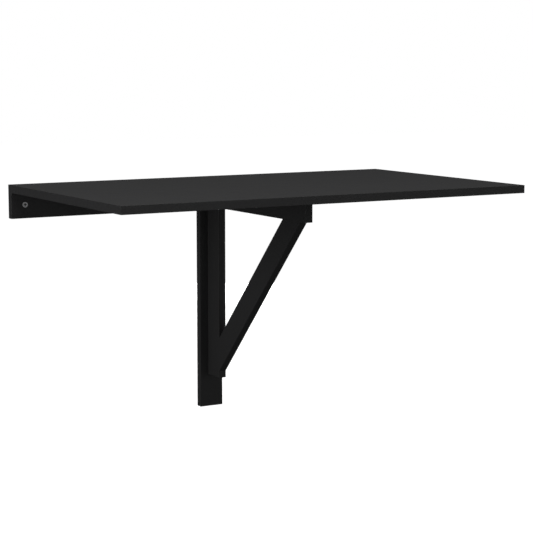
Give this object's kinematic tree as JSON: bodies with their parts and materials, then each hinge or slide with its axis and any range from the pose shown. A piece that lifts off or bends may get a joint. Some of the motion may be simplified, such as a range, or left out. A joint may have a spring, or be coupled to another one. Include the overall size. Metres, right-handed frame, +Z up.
{
  "type": "wall-mounted drop-leaf table",
  "caption": "Black wall-mounted drop-leaf table: a hinged rectangular leaf on a wall rail, held up by a triangular gate bracket that swings out from a wall post.",
  "frame": {"origin": "on the wall's face, midway between the rail's two wall screws", "axes": "+X to the right along the wall, +Y into the wall (the table's front faces -Y), +Z up"},
  "size_m": [1, 0.642, 0.563],
  "materials": {
    "black_board": "matte black melamine-faced board",
    "black_edging": "matte black plastic edge band, glued on and rounded over",
    "screw_steel": "zinc-plated steel",
    "hinge_steel": "zinc-plated steel",
    "dowel_wood": "bare beech",
    "pad_felt": "black pressed felt"
  },
  "bodies": {
    "wall_frame": {"wall_rail": "black_board", "rear_strip": "black_board", "wall_post": "black_board", "rail_wall_screws": "screw_steel", "post_wall_screws": "screw_steel", "strip_screws": "screw_steel", "strip_dowels": "dowel_wood", "post_dowels": "dowel_wood", "strip_hinge_screws": "screw_steel", "post_hinge_screws": "screw_steel", "strip_hinge_plate_1": "hinge_steel", "leaf_hinge_pin_1": "hinge_steel", "strip_hinge_plate_2": "hinge_steel", "leaf_hinge_pin_2": "hinge_steel", "strip_hinge_plate_3": "hinge_steel", "leaf_hinge_pin_3": "hinge_steel", "strip_hinge_plate_4": "hinge_steel", "leaf_hinge_pin_4": "hinge_steel", "post_hinge_plate_upper": "hinge_steel", "gate_hinge_pin_upper": "hinge_steel", "post_hinge_plate_lower": "hinge_steel", "gate_hinge_pin_lower": "hinge_steel", "wall_rail_edge_bands": "black_edging", "rear_strip_edge_bands": "black_edging", "wall_post_edge_bands": "black_edging"},
    "leaf": {"table_leaf": "black_board", "leaf_hinge_screws": "screw_steel", "leaf_hinge_plate_1": "hinge_steel", "leaf_hinge_plate_2": "hinge_steel", "leaf_hinge_plate_3": "hinge_steel", "leaf_hinge_plate_4": "hinge_steel", "table_leaf_edge_bands": "black_edging"},
    "gate": {"gate_upright": "black_board", "gate_arm": "black_board", "gate_brace": "black_board", "arm_pad": "pad_felt", "arm_dowels": "dowel_wood", "brace_dowels": "dowel_wood", "arm_end_screw": "screw_steel", "brace_head_screw": "screw_steel", "gate_hinge_screws": "screw_steel", "gate_hinge_plate_upper": "hinge_steel", "gate_hinge_plate_lower": "hinge_steel", "gate_upright_edge_bands": "black_edging", "gate_arm_edge_bands": "black_edging", "gate_brace_edge_bands": "black_edging"}
  },
  "joints": [
    {"name": "gate_swing", "type": "hinge", "parent": "wall_frame", "child": "gate", "pos_m": [0.02165, -0.02065, 0], "axis": [0, 0, 1], "range_deg": [0, 90]},
    {"name": "leaf_lift", "type": "hinge", "parent": "wall_frame", "child": "leaf", "pos_m": [0, -0.0605, 0.02535], "axis": [-1, 0, 0], "range_deg": [0, 2.5]}
  ]
}
